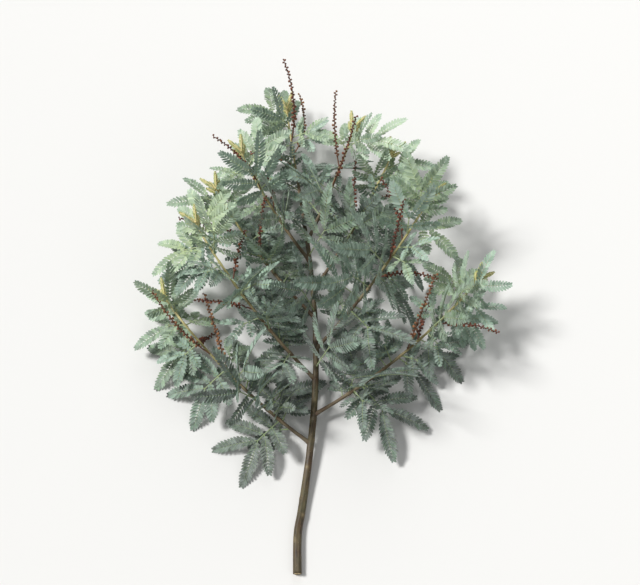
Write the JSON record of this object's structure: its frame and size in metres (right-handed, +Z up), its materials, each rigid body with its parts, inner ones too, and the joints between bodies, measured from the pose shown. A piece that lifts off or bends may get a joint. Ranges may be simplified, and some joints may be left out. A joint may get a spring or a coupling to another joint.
{
  "type": "acacia sprig",
  "caption": "Cut sprig of silver-leaved wattle lying down: an arched stem, leafy side shoots with twice-divided feathery leaves, pale young tips and strings of small buds.",
  "frame": {"origin": "centre of the bounding box in plan, on the surface that the sprig lies on", "axes": "+Z up from the surface, +Y from the cut end of the stem towards the leafy top, +X to the right of the stem seen from above with the top ahead"},
  "size_m": [0.2998, 0.4256, 0.1037],
  "materials": {
    "bark": "matt olive-brown bark with fine ridges",
    "foliage": "matt silver-green with a waxy bloom",
    "young_leaf": "soft pale yellow-green",
    "bud": "matt red-brown beads with a slight sheen"
  },
  "bodies": {
    "root": {"main_stem": "bark", "frond_1": "foliage", "frond_2": "foliage", "frond_3": "foliage", "shoot_1": "foliage", "shoot_1_young_tip": "young_leaf", "shoot_2": "foliage", "shoot_2_young_tip": "young_leaf", "shoot_3": "foliage", "shoot_3_young_tip": "young_leaf", "shoot_4": "foliage", "shoot_4_young_tip": "young_leaf", "shoot_5": "foliage", "shoot_5_young_tip": "young_leaf", "shoot_6": "foliage", "shoot_6_young_tip": "young_leaf", "shoot_7": "foliage", "shoot_7_young_tip": "young_leaf", "shoot_8": "foliage", "shoot_8_young_tip": "young_leaf", "leader": "foliage", "leader_young_tip": "young_leaf", "raceme_1": "bud", "raceme_2": "bud", "raceme_3": "bud", "raceme_4": "bud", "raceme_5": "bud", "raceme_6": "bud", "raceme_7": "bud", "raceme_8": "bud", "raceme_9": "bud", "raceme_10": "bud", "raceme_11": "bud", "raceme_12": "bud", "raceme_13": "bud", "raceme_14": "bud", "raceme_15": "bud", "raceme_16": "bud", "raceme_17": "bud", "raceme_18": "bud", "raceme_19": "bud", "raceme_20": "bud", "raceme_21": "bud", "raceme_22": "bud"}
  },
  "joints": []
}
